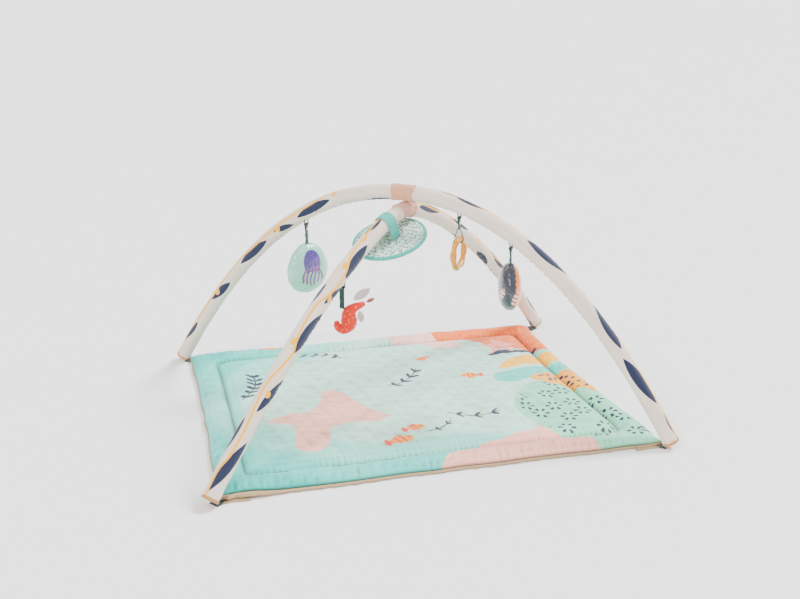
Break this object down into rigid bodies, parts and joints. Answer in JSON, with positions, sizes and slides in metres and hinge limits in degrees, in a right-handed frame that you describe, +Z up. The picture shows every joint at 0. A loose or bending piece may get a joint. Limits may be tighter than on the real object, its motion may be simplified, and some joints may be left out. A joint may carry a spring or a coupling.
{
  "type": "activity play gym",
  "caption": "Quilted floor mat under two crossed, fabric-covered arches that lift off and scissor together, with swinging rattles, a bead ring, a soft fish and a mirror.",
  "frame": {"origin": "on the floor, under the point where the two arches cross, at the middle of the mat", "axes": "+X along the mat's long side, -Y to the front, +Z up"},
  "size_m": [0.9054, 0.7256, 0.4668],
  "materials": {
    "mat_print": "quilted woven polyester with a printed sea-bed pattern",
    "mat_base": "plain beige woven fabric",
    "wadding": "loose polyester fibre",
    "sleeve_print": "ribbed cream fabric with a leaf and vine print",
    "foam": "soft closed-cell foam",
    "rod": "smooth pulled plastic",
    "foot_cap": "tan imitation leather",
    "crown_band": "peach-tan fabric with a folded hem",
    "green_webbing": "dark green woven tape",
    "snap": "satin cream",
    "mint_film": "soft satin film",
    "navy_film": "soft satin film",
    "orange_film": "soft satin film",
    "capsule": "smooth moulded",
    "ring": "clear amber moulding",
    "bead_blue": "smooth moulded",
    "bead_green": "smooth moulded",
    "bead_pink": "smooth moulded",
    "orange_fabric": "orange-red brushed fabric",
    "fin_fabric": "pale grey printed fabric",
    "tail_fabric": "tan fabric",
    "teal_binding": "teal binding tape",
    "mirror_fabric": "mint fabric with small printed rings",
    "mirror_plate": "polished acrylic mirror"
  },
  "bodies": {
    "mat": {"mat_base_cover": "mat_base", "mat_top_cover": "mat_print", "mat_border_padding": "wadding", "mat_centre_padding": "wadding", "corner_tab_back_left": "green_webbing", "corner_tab_back_right": "green_webbing", "corner_tab_front_left": "green_webbing", "corner_tab_front_right": "green_webbing"},
    "arch_a": {"arch_a_sleeve": "sleeve_print", "arch_a_foam": "foam", "arch_a_rod_left": "rod", "arch_a_rod_right": "rod", "arch_a_spigot": "rod", "arch_a_foot_cap_left": "foot_cap", "arch_a_foot_cap_right": "foot_cap", "crown_band_a": "crown_band", "mint_loop": "green_webbing", "navy_loop": "green_webbing", "ring_loop": "green_webbing"},
    "arch_b": {"arch_b_sleeve": "sleeve_print", "arch_b_foam": "foam", "arch_b_rod_left": "rod", "arch_b_rod_right": "rod", "arch_b_spigot": "rod", "arch_b_foot_cap_left": "foot_cap", "arch_b_foot_cap_right": "foot_cap", "crown_band_b": "crown_band", "fish_loop": "green_webbing"},
    "mint_hanger": {"mint_strap": "green_webbing", "mint_snap": "snap"},
    "mint_rattle": {"mint_front_panel": "mint_film", "mint_back_panel": "mint_film", "mint_filling": "wadding", "mint_capsule": "capsule"},
    "navy_hanger": {"navy_strap": "green_webbing", "navy_snap": "snap"},
    "navy_rattle": {"navy_front_panel": "orange_film", "navy_back_panel": "navy_film", "navy_filling": "wadding", "navy_capsule": "capsule"},
    "ring_hanger": {"ring_strap": "green_webbing", "ring_snap": "snap"},
    "ring_teether": {"ring_cord": "green_webbing", "ring_shell_front": "ring", "ring_shell_back": "ring"},
    "ring_beads": {"ring_bead_blue": "bead_blue", "ring_bead_green": "bead_green", "ring_bead_pink": "bead_pink"},
    "fish_hanger": {"fish_strap": "green_webbing", "fish_snap": "snap"},
    "fish_toy": {"fish_body": "orange_fabric", "fish_fin_upper": "fin_fabric", "fish_fin_lower": "fin_fabric", "fish_tail_tip": "tail_fabric"},
    "mirror": {"mirror_band": "teal_binding", "mirror_back_panel": "mirror_fabric", "mirror_foam": "foam", "mirror_plate": "mirror_plate", "mirror_binding": "teal_binding"}
  },
  "joints": [
    {"name": "arches_lift", "type": "slide", "parent": "mat", "child": "arch_a", "axis": [0, 0, 1], "range_m": [0, 0.15]},
    {"name": "arch_scissor", "type": "hinge", "parent": "arch_a", "child": "arch_b", "pos_m": [0, 0, 0.4155], "axis": [0, 0, 1], "range_deg": [-45, 0]},
    {"name": "mint_strap_swing", "type": "hinge", "parent": "arch_a", "child": "mint_hanger", "pos_m": [-0.1756, 0.1396, 0.36149], "axis": [0.6223, 0.7828, 0], "range_deg": [-35, 35]},
    {"name": "mint_sway", "type": "hinge", "parent": "mint_hanger", "child": "mint_rattle", "pos_m": [-0.1756, 0.1396, 0.32049], "axis": [0.7828, -0.6223, 0], "range_deg": [-25, 25]},
    {"name": "navy_strap_swing", "type": "hinge", "parent": "arch_a", "child": "navy_hanger", "pos_m": [0.17648, -0.1403, 0.36079], "axis": [0.6223, 0.7828, 0], "range_deg": [-35, 35]},
    {"name": "navy_sway", "type": "hinge", "parent": "navy_hanger", "child": "navy_rattle", "pos_m": [0.17648, -0.1403, 0.32979], "axis": [0.7828, -0.6223, 0], "range_deg": [-25, 25]},
    {"name": "ring_strap_swing", "type": "hinge", "parent": "arch_a", "child": "ring_hanger", "pos_m": [0.09219, -0.07329, 0.41004], "axis": [0.6223, 0.7828, 0], "range_deg": [-35, 35]},
    {"name": "ring_sway", "type": "hinge", "parent": "ring_hanger", "child": "ring_teether", "pos_m": [0.09219, -0.07329, 0.39104], "axis": [0.7828, -0.6223, 0], "range_deg": [-25, 25]},
    {"name": "bead_roll", "type": "hinge", "parent": "ring_teether", "child": "ring_beads", "pos_m": [0.09219, -0.07329, 0.33834], "axis": [0.7828, -0.6223, 0], "continuous": true},
    {"name": "fish_strap_swing", "type": "hinge", "parent": "arch_b", "child": "fish_hanger", "pos_m": [-0.15541, -0.12355, 0.30332], "axis": [-0.6223, 0.7828, 0], "range_deg": [-35, 35]},
    {"name": "fish_sway", "type": "hinge", "parent": "fish_hanger", "child": "fish_toy", "pos_m": [-0.15541, -0.12355, 0.26432], "axis": [0.7828, 0.6223, 0], "range_deg": [-25, 25]},
    {"name": "mirror_tilt", "type": "hinge", "parent": "arch_b", "child": "mirror", "pos_m": [-0.04785, -0.03804, 0.40068], "axis": [0.7394, 0.5878, 0.3282], "range_deg": [-25, 25]}
  ]
}
